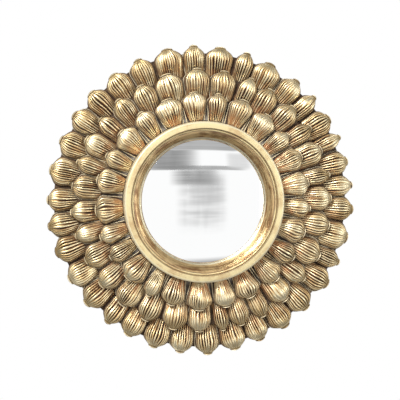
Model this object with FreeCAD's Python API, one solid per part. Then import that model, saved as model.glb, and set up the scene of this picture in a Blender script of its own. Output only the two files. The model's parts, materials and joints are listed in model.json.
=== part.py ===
"""Round convex mirror in a gilt frame of three overlapping rows of ribbed petals.

Millimetres. +Z is up and +Y points into the wall, so the mirror looks along -Y.
The origin lies on the mirror's axis, in the plane of the wall that the bumpers touch.
Depths are measured from that plane towards the room: a point of depth d has y = -d.
Clock angles run clockwise from the top, as seen from the room.
"""
import FreeCAD, Part
import math
import os

from FreeCAD import Vector

# ---------------------------------------------------------------- mirror glass
glass_diameter = 210.0        # the convex glass, edge to edge
glass_thickness = 3.0
glass_front_radius = 450.0    # radius of the sphere that its front is part of
glass_clearance = 0.75        # glass edge to the bore of the boards, all round
sight_overlap = 5.4           # how far the slip covers the glass, all round
sight_gap = 0.3               # slip to glass

# ---------------------------------------------------------------- slip and rim
cove_width = 12.9             # the hollow of the slip, seen from the front
cove_hollow = 3.0             # how far the cove curves below its chord
slip_edge = 1.0               # square edge where the cove starts, at the glass
slip_foot_depth = 2.6         # how far the slip's foot reaches into the bore
bead_width = 2.6              # the thin bead between cove and rim
bead_height = 1.2
rim_width = 11.6
rim_height = 24.0             # rim above the front board
rim_fall = 0.8                # the rim's face falls outwards by this much
rim_outer_round = 3.0
rim_inner_round = 1.2
rim_above_bead = 3.3          # rim's front over the bead's crown
fit_gap = 0.3                 # between neighbouring pieces that don't touch

# ---------------------------------------------------------------- built-up base
back_board_thickness = 8.0    # carries the outer row
middle_board_thickness = 9.0  # carries the middle row
front_board_thickness = 9.0   # carries the inner row, the slip and the rim
board_edge_round = 1.5        # on the back edge of the back board

# ---------------------------------------------------------------- wall bumpers
bumper_height = 10.0          # holds the back board off the wall
bumper_wall_diameter = 14.0   # at the wall
bumper_board_diameter = 18.0  # at the board
bumper_floor = 3.5            # rubber under the screw's head
bumper_well_diameter = 8.4    # the well that the screw's head lies in
bumper_count = 4
bumper_first_angle = 45.0     # clock angle
bumper_inset = 13.0           # from the edge of the middle board

# ---------------------------------------------------------------------- petals
inner_row_reach = 47.5        # rim to the tips of the inner row
middle_row_reach = 37.0       # inner tips to middle tips
outer_row_reach = 36.5        # middle tips to outer tips
petal_overhang = 14.0         # a tip reaches this far past the edge of its board
petal_height = 15.0
petal_gap = 0.2               # between neighbours at their widest
tip_scatter = 2.4             # tips end up to this much short of their row's reach
root_drop = 2.7               # the crest of a root lies this far below the next board
inner_root_height = 8.7       # the same crest where no board lies above it
tip_height = 8.6
tip_undercut = 4.0            # the underside rises by this much at the tip
inner_root_share = 0.44       # width at the rim, as a share of the widest place
covered_root_share = 0.74     # the same for a root under the row above
cleared_share = 0.86          # the same where the tips of the row above end
tip_share = 0.38              # the same at the neck behind the lip
lip_flare = 0.45              # the lip stands this far out of the neck
lip_length = 1.6
rib_count = 9
rib_depth = 1.1
row_sectors = 12              # a row is divided like a clock face

# A petal's shape past its root: (share of the way to the lip, share of the widest
# place, share of the height, share of the rib depth).
petal_shape = [
    (0.42, 1.00, 1.00, 1.0),
    (0.63, 0.93, 0.95, 0.9),
    (0.81, 0.74, 0.81, 0.6),
    (0.93, 0.55, 0.67, 0.4),
]
# Along the root: (share of the way to the tips of the row above, share of the rib depth).
root_shape = [(0.0, 0.4), (0.5, 0.7), (1.0, 0.9)]
lip_rib_share = 0.2

# Widths of the petals in each row, in degrees, clockwise. Each list is read round
# the frame by eye and then spread over the full turn.
inner_widths = [15, 12, 15, 16, 12, 15, 15, 12, 16, 14, 15, 16, 14,
                16, 15, 11, 17, 12, 12, 17, 15, 12, 16, 13, 17]
middle_widths = [13, 13, 10, 12, 12, 10, 13, 9, 13, 13, 14, 11, 13, 10, 11, 8,
                 12, 13, 12, 13, 12, 13, 10, 11, 12, 9, 12, 10, 11, 12, 14]
outer_widths = [9, 12, 8, 12, 10, 8, 11, 7, 10, 9, 10, 12, 8, 11, 11, 11, 10, 11,
                10, 10, 11, 10, 9, 11, 11, 11, 10, 10, 12, 11, 10, 10, 11, 10, 12]
inner_start = 347.7           # clock angle where each list starts
middle_start = 350.8
outer_start = 352.4

# --------------------------------------------------------------- glass packing
panel_thickness = 3.0
panel_clearance = 0.5
packing_width = 9.0

# ---------------------------------------------------------------- turn buttons
button_count = 4
button_first_angle = 45.0     # clock angle
button_plate = 1.2
button_pivot_inset = 7.0      # pivot to the bore of the boards
button_reach = 17.0           # pivot to the middle of the nose
button_root_radius = 6.0
button_nose_radius = 4.0
button_play = 0.1             # round the screw, and on both faces

# ---------------------------------------------------------------------- screws
screw_thread_diameter = 3.5
screw_neck_diameter = 4.0
screw_neck_length = 2.0
screw_head_diameter = 7.4
screw_head_height = 2.3
screw_head_round = 1.4
screw_length = 12.0           # below the head
screw_point_length = 3.5
screw_point_diameter = 0.9
screw_play = 0.05             # in its hole
screw_slot_width = 1.0
screw_slot_depth = 0.9

# ---------------------------------------------------------------------- hanger
strap_width = 18.0
strap_layer = 0.8             # a strip folded double round the ring's bar
strap_length = 30.0           # ring bar to the strap's lower end
strap_corner_radius = 4.5
hanger_height = 180.0         # the ring's bar, above the mirror's axis
hanger_screw_first = 10.0     # ring bar to the upper screw
hanger_screw_pitch = 12.0
ring_wire_diameter = 3.0
ring_play = 0.1
ring_inner_width = 22.0
ring_straight = 5.0           # straight sides between the bends and the bow
ring_corner_radius = 4.0      # at the wire's centre line
knuckle_side_gap = 1.0
pocket_depth = 4.0            # room for a wall hook behind the ring
pocket_margin = 4.0

# ----------------------------------------------------------- worked-out places
glass_radius = glass_diameter / 2
sight_radius = glass_radius - sight_overlap
bore_radius = glass_radius + glass_clearance
bead_inner = sight_radius + cove_width
bead_outer = bead_inner + bead_width
rim_inner = bead_outer + fit_gap
rim_outer = rim_inner + rim_width

back_face = bumper_height
back_board_front = back_face + back_board_thickness
middle_board_front = back_board_front + middle_board_thickness
front_board_front = middle_board_front + front_board_thickness
rim_front = front_board_front + rim_height
bead_front = rim_front - rim_above_bead

inner_tips = rim_outer + inner_row_reach
middle_tips = inner_tips + middle_row_reach
outer_tips = middle_tips + outer_row_reach
front_board_edge = inner_tips - petal_overhang
middle_board_edge = middle_tips - petal_overhang
back_board_edge = outer_tips - petal_overhang


def fall(radius, sphere_radius):
    """How far a sphere's surface has fallen behind its crown at this radius."""
    return sphere_radius - math.sqrt(sphere_radius ** 2 - radius ** 2)


slip_back = front_board_front - slip_foot_depth
glass_crown = slip_back - sight_gap + fall(sight_radius, glass_front_radius)
glass_back_radius = glass_front_radius - glass_thickness
glass_rim_back = glass_crown - glass_thickness - fall(glass_radius, glass_back_radius)


# --------------------------------------------------------------------- helpers
def at(radius, depth):
    """A point of a turned profile."""
    return Vector(radius, -depth, 0)


def line(a, b):
    return Part.LineSegment(a, b).toShape()


def arc(a, middle, b):
    return Part.Arc(a, middle, b).toShape()


def on_round(radius):
    """How far a quarter round's middle lies inside each of its two tangents."""
    return radius * (1 - math.sqrt(0.5))


def turned(edges):
    """A solid of revolution about the mirror's axis, from a closed profile."""
    profile = Part.Face(Part.Wire(Part.__sortEdges__(edges)))
    return profile.revolve(Vector(0, 0, 0), Vector(0, 1, 0), 360)


def turned_outline(corners):
    """The same, from the corners of a straight-sided profile."""
    points = [at(radius, depth) for radius, depth in corners]
    return turned([line(a, b) for a, b in zip(points, points[1:] + points[:1])])


def flat_ring(inner, outer, back, front):
    return turned_outline([(inner, back), (inner, front), (outer, front), (outer, back)])


def disc(radius, back, front, x=0.0, z=0.0):
    """A cylinder between two depths, about an axis square to the wall."""
    return Part.makeCylinder(radius, front - back, Vector(x, -back, z), Vector(0, -1, 0))


def block(width, back, front, low, high):
    """A box centred on x = 0, between two depths and two heights."""
    return Part.makeBox(width, front - back, high - low, Vector(-width / 2, -front, low))


def clock_point(radius, angle):
    """x and z of a point at this radius and clock angle."""
    turn = math.radians(angle)
    return radius * math.sin(turn), radius * math.cos(turn)


def turned_to(shape, angle):
    """A copy of a shape made at twelve o'clock, moved round to another angle."""
    copy = shape.copy()
    copy.rotate(Vector(0, 0, 0), Vector(0, 1, 0), angle)
    return copy


def evenly(count, first_angle):
    return [first_angle + number * 360 / count for number in range(count)]


def save(name, solids):
    shape = solids[0] if len(solids) == 1 else Part.makeCompound(solids)
    shape.exportStep(os.path.join("parts", name + ".step"))
    volume = sum(solid.Volume for solid in solids) / 1000
    state = "" if shape.isValid() else "  NOT VALID"
    print(f"{name:20s} {len(solids):2d} solid(s) {volume:9.2f} cm3{state}")


# ---------------------------------------------------------------------- screws
def screw(x, z, seat):
    """A slotted pan-head screw driven towards the room. Its head bears at the depth
    of its seat, and its neck passes through the plate that it holds."""
    neck_end = seat + screw_neck_length
    tip = seat + screw_length
    point_start = tip - screw_point_length
    head_back = seat - screw_head_height
    neck = disc(screw_neck_diameter / 2, seat, neck_end, x, z)
    thread = disc(screw_thread_diameter / 2, neck_end, point_start, x, z)
    point = Part.makeCone(screw_thread_diameter / 2, screw_point_diameter / 2,
                          screw_point_length, Vector(x, -point_start, z), Vector(0, -1, 0))
    head = disc(screw_head_diameter / 2, head_back, seat, x, z)
    # the circle round the head's outer face
    crown_edges = [edge for edge in head.Edges if edge.BoundBox.YMin > -seat + screw_head_round]
    head = head.makeFillet(screw_head_round, crown_edges)
    slot = Part.makeBox(screw_head_diameter, screw_slot_depth, screw_slot_width,
                        Vector(x - screw_head_diameter / 2, -head_back - screw_slot_depth,
                               z - screw_slot_width / 2))
    return head.fuse([neck, thread, point]).cut(slot).removeSplitter()


def screw_hole(x, z, back, seat):
    """What a screw takes out of the wood in front of the plate that it holds."""
    neck_end = seat + screw_neck_length + screw_play
    hole = disc(screw_thread_diameter / 2 + screw_play, back, seat + screw_length, x, z)
    if neck_end > back:
        hole = hole.fuse(disc(screw_neck_diameter / 2 + screw_play, back, neck_end, x, z))
    return hole


# ---------------------------------------------------------------- turn buttons
button_front = back_face - button_play
button_back = button_front - button_plate
button_seat = button_back - button_play        # under the screw's head
button_pivot = bore_radius + button_pivot_inset


def turn_button():
    """A flat steel button at twelve o'clock, with its nose over the back panel."""
    nose_height = button_pivot - button_reach
    root = disc(button_root_radius, button_back, button_front, 0, button_pivot)
    nose = disc(button_nose_radius, button_back, button_front, 0, nose_height)
    # the straight sides touch both circles
    lean = math.asin((button_root_radius - button_nose_radius) / button_reach)

    def touch(side, radius, height):
        return Vector(side * radius * math.cos(lean), -button_front,
                      height - radius * math.sin(lean))

    corners = [
        touch(1, button_root_radius, button_pivot),
        touch(1, button_nose_radius, nose_height),
        touch(-1, button_nose_radius, nose_height),
        touch(-1, button_root_radius, button_pivot),
    ]
    outline = Part.Face(Part.makePolygon(corners + corners[:1]))
    web = outline.extrude(Vector(0, button_plate, 0))
    hole = disc(screw_neck_diameter / 2 + button_play, button_back, button_front,
                0, button_pivot)
    return root.fuse([nose, web]).removeSplitter().cut(hole)


# ---------------------------------------------------------------------- hanger
ring_wire = ring_wire_diameter / 2
knuckle_inner = ring_wire + ring_play
knuckle_outer = knuckle_inner + strap_layer
ring_bar_depth = back_face - knuckle_outer
strap_thickness = 2 * strap_layer
strap_back = back_face - strap_thickness
ring_half_width = ring_inner_width / 2 + ring_wire
ring_bow_height = hanger_height + ring_corner_radius + ring_straight
ring_top = ring_bow_height + ring_half_width
knuckle_width = 2 * (ring_half_width - ring_corner_radius - knuckle_side_gap)


def hanger_screw_heights():
    first = hanger_height - hanger_screw_first
    return [first, first - hanger_screw_pitch]


def hanger_strap():
    """A steel strip folded double round the ring's bar and screwed to the back."""
    low = hanger_height - strap_length
    shoulder = hanger_height - knuckle_outer - knuckle_side_gap
    leaf = block(strap_width, strap_back, back_face, low, shoulder)
    lower_corners = [edge for edge in leaf.Edges
                     if edge.BoundBox.ZMax < shoulder and edge.BoundBox.XLength < strap_layer]
    leaf = leaf.makeFillet(strap_corner_radius, lower_corners)
    neck = block(knuckle_width, strap_back, back_face, shoulder, hanger_height)
    start = Vector(-knuckle_width / 2, -ring_bar_depth, hanger_height)
    knuckle = Part.makeCylinder(knuckle_outer, knuckle_width, start, Vector(1, 0, 0))
    bore = Part.makeCylinder(knuckle_inner, knuckle_width, start, Vector(1, 0, 0))
    holes = [disc(screw_neck_diameter / 2 + screw_play, strap_back, back_face, 0, height)
             for height in hanger_screw_heights()]
    return leaf.fuse([neck, knuckle]).cut([bore] + holes).removeSplitter()


def hanger_ring():
    """A D-shaped ring of round wire, standing up from its bar."""
    y = -ring_bar_depth
    side = ring_half_width
    bar = side - ring_corner_radius
    bend = on_round(ring_corner_radius)
    bar_z, side_z, bow_z = hanger_height, hanger_height + ring_corner_radius, ring_bow_height
    path = Part.Wire([
        line(Vector(-bar, y, bar_z), Vector(bar, y, bar_z)),
        arc(Vector(bar, y, bar_z), Vector(side - bend, y, bar_z + bend), Vector(side, y, side_z)),
        line(Vector(side, y, side_z), Vector(side, y, bow_z)),
        arc(Vector(side, y, bow_z), Vector(0, y, ring_top), Vector(-side, y, bow_z)),
        line(Vector(-side, y, bow_z), Vector(-side, y, side_z)),
        arc(Vector(-side, y, side_z), Vector(-side + bend, y, bar_z + bend),
            Vector(-bar, y, bar_z)),
    ])
    circle = Part.makeCircle(ring_wire, Vector(-bar, y, bar_z), Vector(1, 0, 0))
    return path.makePipe(Part.Face(Part.Wire(circle)))


# ------------------------------------------------------------------------ base
bumper_seat = bumper_height - bumper_floor     # under the screw's head
bumper_places = [clock_point(middle_board_edge - bumper_inset, angle)
                 for angle in evenly(bumper_count, bumper_first_angle)]


def hook_pocket():
    """Room in the back board for the tip of a wall hook that holds the ring."""
    width = 2 * (ring_half_width + ring_wire + pocket_margin)
    return block(width, back_face, back_face + pocket_depth,
                 hanger_height + knuckle_outer, ring_top + ring_wire + pocket_margin)


def back_board():
    """The ring that carries the outer row, rounded on the outer edge of its back."""
    ring = flat_ring(bore_radius, back_board_edge, back_face, back_board_front)
    middle = (back_face + back_board_front) / 2
    outer_back = [edge for edge in ring.Edges
                  if edge.BoundBox.YMin > -middle
                  and edge.BoundBox.XLength > back_board_edge + bore_radius]
    return ring.makeFillet(board_edge_round, outer_back)


def boards():
    """(name, solid) for the three rings of board, each with one row of petals."""
    cuts = [screw_hole(*clock_point(button_pivot, angle), back_face, button_seat)
            for angle in evenly(button_count, button_first_angle)]
    cuts += [screw_hole(0, height, back_face, strap_back) for height in hanger_screw_heights()]
    cuts += [screw_hole(x, z, back_face, bumper_seat) for x, z in bumper_places]
    cuts.append(hook_pocket())
    rings = [
        ("back_board", back_board()),
        ("middle_board", flat_ring(bore_radius, middle_board_edge,
                                   back_board_front, middle_board_front)),
        ("front_board", flat_ring(bore_radius, front_board_edge,
                                  middle_board_front, front_board_front)),
    ]
    return [(name, ring.cut(cuts)) for name, ring in rings]


def wall_bumper(x, z):
    """A tapered rubber foot, with a well for the head of its screw."""
    foot = Part.makeCone(bumper_wall_diameter / 2, bumper_board_diameter / 2, bumper_height,
                         Vector(x, 0, z), Vector(0, -1, 0))
    well = disc(bumper_well_diameter / 2, 0, bumper_seat, x, z)
    hole = disc(screw_neck_diameter / 2 + screw_play, 0, bumper_height, x, z)
    return foot.cut([well, hole])


# ---------------------------------------------------------------- glass and rings
def mirror_glass():
    """A dome of even thickness between two spheres with one centre."""
    centre = at(0, glass_crown - glass_front_radius)
    blank = disc(glass_radius, back_face, rim_front)
    dome = blank.common(Part.makeSphere(glass_front_radius, centre))
    return dome.cut(Part.makeSphere(glass_back_radius, centre))


def packing_ring():
    """A foam ring that presses the edge of the glass against the slip."""
    outer = bore_radius - panel_clearance
    return flat_ring(outer - packing_width, outer, back_face + panel_thickness,
                     glass_rim_back - fit_gap)


def back_panel():
    return disc(bore_radius - panel_clearance, back_face, back_face + panel_thickness)


def sight_slip():
    """The inner moulding: a foot in the bore, a cove and a thin bead."""
    foot_outer = bore_radius - fit_gap
    cove_start = at(sight_radius, slip_back + slip_edge)
    cove_end = at(bead_inner, bead_front - bead_height)
    chord = cove_end - cove_start
    into_wood = Vector(-chord.y, chord.x, 0).normalize()
    cove_middle = cove_start + chord * 0.5 + into_wood * cove_hollow
    bead_crown = at((bead_inner + bead_outer) / 2, bead_front)
    bead_end = at(bead_outer, bead_front - bead_height)
    seat_outer = at(bead_outer, front_board_front)
    seat_inner = at(foot_outer, front_board_front)
    return turned([
        line(at(sight_radius, slip_back), cove_start),
        arc(cove_start, cove_middle, cove_end),
        arc(cove_end, bead_crown, bead_end),
        line(bead_end, seat_outer),
        line(seat_outer, seat_inner),
        line(seat_inner, at(foot_outer, slip_back)),
        line(at(foot_outer, slip_back), at(sight_radius, slip_back)),
    ])


def rim_ring():
    """The outer moulding: a broad face that falls outwards to a round edge."""
    outer_front = rim_front - rim_fall
    inner_bend, outer_bend = on_round(rim_inner_round), on_round(rim_outer_round)
    wall_top = at(rim_inner, rim_front - rim_inner_round)
    face_start = at(rim_inner + rim_inner_round, rim_front)
    face_end = at(rim_outer - rim_outer_round, outer_front)
    side_top = at(rim_outer, outer_front - rim_outer_round)
    crown = at((face_start.x + face_end.x) / 2, rim_front - rim_fall / 4)
    return turned([
        line(at(rim_inner, front_board_front), wall_top),
        arc(wall_top, at(rim_inner + inner_bend, rim_front - inner_bend), face_start),
        arc(face_start, crown, face_end),
        arc(face_end, at(rim_outer - outer_bend, outer_front - outer_bend), side_top),
        line(side_top, at(rim_outer, front_board_front)),
        line(at(rim_outer, front_board_front), at(rim_inner, front_board_front)),
    ])


# ---------------------------------------------------------------------- petals
def petal_stations(length, half_width, ceiling, root_share):
    """(distance from the root, half width, crest height, rib depth) along a petal.
    The ceiling is the height to which it may rise under the row above."""
    root = ceiling - root_drop
    cleared = petal_overhang + fit_gap         # where the tips of the row above end
    body = length - lip_length
    neck = half_width * tip_share
    spread = cleared_share - root_share
    stations = [(share * cleared, half_width * (root_share + share * spread),
                 root + share * root_drop, rib_depth * rib) for share, rib in root_shape]
    stations += [(cleared + share * (body - cleared), half_width * width,
                  petal_height * height, rib_depth * rib)
                 for share, width, height, rib in petal_shape]
    lip_rib = rib_depth * lip_rib_share
    stations.append((body, neck, tip_height, lip_rib))
    stations.append((length, neck + lip_flare, tip_height + lip_flare, lip_rib))
    return stations


def petal_section(along, half_width, height, bulge):
    """A closed arch with round ribs over a flat underside."""
    def on_arch(step, out):
        turn = math.pi * (1 - step / rib_count)
        return Vector(along, (half_width - bulge + out) * math.cos(turn),
                      (height - bulge + out) * math.sin(turn))

    grooves = [on_arch(step, 0) for step in range(rib_count + 1)]
    grooves[0].z = grooves[-1].z = 0
    crowns = [on_arch(step + 0.5, bulge) for step in range(rib_count)]
    ribs = [arc(a, crown, b) for a, crown, b in zip(grooves, crowns, grooves[1:])]
    return Part.Wire(ribs + [line(grooves[-1], grooves[0])])


def petal(length, half_width, ceiling, root_share, seat):
    """One petal, lying along +X on the plane z = 0, with its root at the origin.
    Past its seat its underside rises to the lip."""
    sections = [petal_section(*station)
                for station in petal_stations(length, half_width, ceiling, root_share)]
    body = Part.makeLoft(sections, True, False)
    beyond = length + petal_overhang
    rise = tip_undercut * (beyond - seat) / (length - seat)
    edge = [Vector(seat, -half_width, 0), Vector(beyond, -half_width, 0),
            Vector(beyond, -half_width, rise), Vector(seat, -half_width, 0)]
    return body.cut(Part.Face(Part.makePolygon(edge)).extrude(Vector(0, 2 * half_width, 0)))


def scatter(number):
    """An uneven share from 0 to 1, the same each time for the same petal."""
    return (number * (math.sqrt(5) - 1) / 2) % 1


def petal_row(widths, first_angle, root_radius, tip_radius, board_edge, board_front,
              ceiling, root_share):
    """(clock angle, solid) for every petal of a row."""
    scale = 360 / sum(widths)
    seat = board_edge - root_radius
    cleared = petal_overhang + fit_gap
    angle = first_angle
    row = []
    for number, width in enumerate(widths):
        length = tip_radius - root_radius - tip_scatter * scatter(number)
        swell = root_radius + cleared + petal_shape[0][0] * (length - lip_length - cleared)
        half_width = swell * math.tan(math.radians(width * scale / 2)) - petal_gap / 2
        shape = petal(length, half_width, ceiling, root_share, seat)
        # lay it on its board at twelve o'clock, crest towards the room, and turn it
        shape.Placement = FreeCAD.Placement(
            Vector(0, -board_front, root_radius),
            FreeCAD.Rotation(Vector(0, 0, 1), Vector(-1, 0, 0), Vector(0, -1, 0), "XYZ"))
        middle = angle + width * scale / 2
        row.append((middle % 360, turned_to(shape, middle)))
        angle += width * scale
    return row


def save_row(name, row):
    """Petals are saved by the sector of the circle in which their middles lie."""
    for sector in range(row_sectors):
        start, end = sector * 360 / row_sectors, (sector + 1) * 360 / row_sectors
        save(f"{name}_{sector + 1:02d}", [solid for middle, solid in row if start <= middle < end])


# ------------------------------------------------------------------------- all
def main():
    os.makedirs("parts", exist_ok=True)
    for name, solid in boards():
        save(name, [solid])
    save("wall_bumpers", [wall_bumper(x, z) for x, z in bumper_places])
    save("bumper_screws", [screw(x, z, bumper_seat) for x, z in bumper_places])
    save("rim_ring", [rim_ring()])
    save("sight_slip", [sight_slip()])
    save("mirror_glass", [mirror_glass()])
    save("packing_ring", [packing_ring()])
    save("back_panel", [back_panel()])
    button = turn_button()
    button_angles = evenly(button_count, button_first_angle)
    for number, angle in enumerate(button_angles, 1):
        save(f"turn_button_{number}", [turned_to(button, angle)])
    save("button_screws", [screw(*clock_point(button_pivot, angle), button_seat)
                           for angle in button_angles])
    save("hanger_strap", [hanger_strap()])
    save("hanger_ring", [hanger_ring()])
    save("hanger_screws", [screw(0, height, strap_back) for height in hanger_screw_heights()])
    save_row("inner_petals", petal_row(
        inner_widths, inner_start, rim_outer + fit_gap, inner_tips,
        front_board_edge, front_board_front, inner_root_height, inner_root_share))
    save_row("middle_petals", petal_row(
        middle_widths, middle_start, front_board_edge + fit_gap, middle_tips,
        middle_board_edge, middle_board_front, front_board_thickness - fit_gap,
        covered_root_share))
    save_row("outer_petals", petal_row(
        outer_widths, outer_start, middle_board_edge + fit_gap, outer_tips,
        back_board_edge, back_board_front, middle_board_thickness - fit_gap,
        covered_root_share))
    print(f"diameter over the tips {2 * outer_tips:.1f}, depth {rim_front:.1f}, "
          f"glass in sight {2 * sight_radius:.1f}")


main()
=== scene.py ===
import json
import math

import bmesh
import bpy
import numpy as np
from mathutils import Matrix, Vector


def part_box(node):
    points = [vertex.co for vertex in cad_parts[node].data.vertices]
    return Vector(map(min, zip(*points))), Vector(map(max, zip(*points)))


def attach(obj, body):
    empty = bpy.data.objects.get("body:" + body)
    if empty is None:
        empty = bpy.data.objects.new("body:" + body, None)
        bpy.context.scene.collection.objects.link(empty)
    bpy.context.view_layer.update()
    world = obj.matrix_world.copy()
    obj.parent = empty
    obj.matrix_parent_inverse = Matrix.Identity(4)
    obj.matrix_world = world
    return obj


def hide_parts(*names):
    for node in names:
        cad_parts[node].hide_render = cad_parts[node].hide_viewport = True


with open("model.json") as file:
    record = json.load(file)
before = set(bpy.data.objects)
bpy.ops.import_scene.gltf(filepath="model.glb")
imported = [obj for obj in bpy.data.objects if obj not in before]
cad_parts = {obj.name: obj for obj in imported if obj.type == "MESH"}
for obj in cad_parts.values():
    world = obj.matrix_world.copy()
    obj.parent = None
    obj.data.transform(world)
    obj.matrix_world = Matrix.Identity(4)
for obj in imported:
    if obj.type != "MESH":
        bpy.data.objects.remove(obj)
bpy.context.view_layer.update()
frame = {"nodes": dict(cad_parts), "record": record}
print("frame loaded:", len(frame["nodes"]), "nodes")

mm = 0.001
hair = 1e-4      # two places nearer than this are the same
tau = 2 * math.pi


def deselectAll():
    bpy.ops.object.select_all(action="DESELECT")


def onlySelect(piece):
    deselectAll()
    piece.select_set(True)
    bpy.context.view_layer.objects.active = piece


def added(name):
    # names the primitive that was just added, and puts its place into its mesh
    piece = bpy.context.object
    piece.name = piece.data.name = name
    bpy.ops.object.transform_apply(location=True, rotation=True, scale=True)
    return piece


def inEditMode(piece, work):
    onlySelect(piece)
    bpy.ops.object.mode_set(mode="EDIT")
    bpy.ops.mesh.select_mode(type="VERT")
    work()
    bpy.ops.object.mode_set(mode="OBJECT")


def pick(piece, test):
    # in edit mode: selects only the points whose place passes the test
    bpy.ops.mesh.select_all(action="DESELECT")
    mesh = bmesh.from_edit_mesh(piece.data)
    for vertex in mesh.verts:
        if test(vertex.co):
            vertex.select_set(True)
    mesh.select_flush(True)
    bmesh.update_edit_mesh(piece.data)


def coords(piece):
    flat = np.zeros(len(piece.data.vertices) * 3)
    piece.data.vertices.foreach_get("co", flat)
    return flat.reshape(-1, 3)


def setCoords(piece, points):
    piece.data.vertices.foreach_set("co", points.ravel())
    piece.data.update()


def copyOf(piece, name):
    twin = piece.copy()
    twin.data = piece.data.copy()
    twin.name = twin.data.name = name
    bpy.context.scene.collection.objects.link(twin)
    return twin


def floatAttribute(piece, name, values):
    attributes = piece.data.attributes
    attribute = attributes.get(name) or attributes.new(name, "FLOAT", "POINT")
    attribute.data.foreach_set("value", np.asarray(values, float))


def smoothSharp(piece, degrees):
    # smooth, but for edges sharper than this
    onlySelect(piece)
    bpy.ops.object.shade_smooth_by_angle(angle=math.radians(degrees))


def curve(stops, where):
    # a smooth line through the stops
    x, y = np.array(stops, float).T
    slope = np.gradient(y, x)
    i = np.clip(np.searchsorted(x, where) - 1, 0, len(x) - 2)
    wide = x[i + 1] - x[i]
    t = (np.clip(where, x[0], x[-1]) - x[i]) / wide
    start = (1 + 2 * t) * (1 - t) ** 2 * y[i] + t * (1 - t) ** 2 * wide * slope[i]
    end = t ** 2 * (3 - 2 * t) * y[i + 1] + t ** 2 * (t - 1) * wide * slope[i + 1]
    return start + end


def share(values, start, end):
    # 0 up to the start, 1 from the end on, and even steps between
    return np.clip((values - start) / (end - start), 0, 1)


def hump(values, middle, width):
    return np.exp(-((values - middle) / width) ** 2)


class Num:
    # a node's output that can be used in a sum
    def __init__(self, graph, socket):
        self.graph = graph
        self.socket = socket

    def math(self, operation, *others, swap=False):
        values = [self, *others]
        if swap:
            values.reverse()
        return self.graph.add("ShaderNodeMath", {"operation": operation}, dict(enumerate(values)))

    def __add__(self, other):
        return self.math("ADD", other)

    def __radd__(self, other):
        return self.math("ADD", other)

    def __sub__(self, other):
        return self.math("SUBTRACT", other)

    def __rsub__(self, other):
        return self.math("SUBTRACT", other, swap=True)

    def __mul__(self, other):
        return self.math("MULTIPLY", other)

    def __rmul__(self, other):
        return self.math("MULTIPLY", other)

    def __truediv__(self, other):
        return self.math("DIVIDE", other)

    def high(self, other):
        return self.math("MAXIMUM", other)

    def smooth(self, low, high):
        # 0 at low, 1 at high, with a soft step between
        return self.graph.add("ShaderNodeMapRange", {"interpolation_type": "SMOOTHSTEP"},
                              {0: self, 1: low, 2: high})

    def near(self, middle, width):
        # 1 at the middle, 0 further off than the width
        return 1 - (self - middle).math("ABSOLUTE").smooth(0.0, width)

    def clamp(self):
        return self.graph.add("ShaderNodeClamp", {}, {0: self})


class Graph:
    # a node tree
    def __init__(self, tree):
        self.tree = tree

    def add(self, kind, settings, sockets, out=0):
        node = self.tree.nodes.new(kind)
        for name, value in settings.items():
            if name == "stops":
                while len(node.color_ramp.elements) < len(value):
                    node.color_ramp.elements.new(1.0)
                for element, (place, colour) in zip(node.color_ramp.elements, value):
                    element.position = place
                    element.color = (*colour, 1)
            else:
                setattr(node, name, value)
        for name, value in sockets.items():
            if isinstance(value, Num):
                self.tree.links.new(value.socket, node.inputs[name])
            else:
                node.inputs[name].default_value = value
        return Num(self, node.outputs[out])

    def parts(self, vector):
        split = self.add("ShaderNodeSeparateXYZ", {}, {0: vector})
        outputs = split.socket.node.outputs
        return [Num(self, outputs[axis]) for axis in "XYZ"]

    def joined(self, x, y, z):
        return self.add("ShaderNodeCombineXYZ", {}, {"X": x, "Y": y, "Z": z})

    def place(self, scale=(1, 1, 1)):
        # Object coordinates, stretched by the scale
        point = self.add("ShaderNodeTexCoord", {}, {}, "Object")
        return self.add("ShaderNodeMapping", {}, {"Vector": point, "Scale": scale})

    def length(self, vector):
        return self.add("ShaderNodeVectorMath", {"operation": "LENGTH"}, {0: vector}, "Value")

    def noise(self, scale, detail=4, rough=0.5, stretch=(1, 1, 1), at=None):
        return self.add("ShaderNodeTexNoise", {}, {"Vector": at or self.place(stretch), "Scale": scale,
                                                   "Detail": detail, "Roughness": rough})

    def cells(self, scale):
        return self.add("ShaderNodeTexVoronoi", {}, {"Vector": self.place(), "Scale": scale}, "Distance")

    def attribute(self, name):
        return self.add("ShaderNodeAttribute", {"attribute_name": name}, {}, "Fac")

    def ramp(self, factor, stops):
        return self.add("ShaderNodeValToRGB", {"stops": stops}, {0: factor})

    def mix(self, factor, first, second):
        first = first if isinstance(first, Num) else (*first, 1)
        second = second if isinstance(second, Num) else (*second, 1)
        return self.add("ShaderNodeMix", {"data_type": "RGBA"}, {0: factor, 6: first, 7: second}, 2)

    def emission(self, level):
        return self.add("ShaderNodeEmission", {}, {"Color": (level, level, level, 1)})

    def fromMiddle(self):
        # the distance from the mirror's axis, and the place beside and above it
        x, _, z = self.parts(self.place())
        return self.length(self.joined(x, 0.0, z)), x, z

    def rays(self):
        # 1 for what the camera sees, and 1 for what a reflection or a view through glass sees
        path = self.add("ShaderNodeLightPath", {}, {}).socket.node
        camera, glossy, through = (Num(self, path.outputs[name]) for name in
                                   ("Is Camera Ray", "Is Glossy Ray", "Is Transmission Ray"))
        return camera, glossy.high(through)


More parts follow.
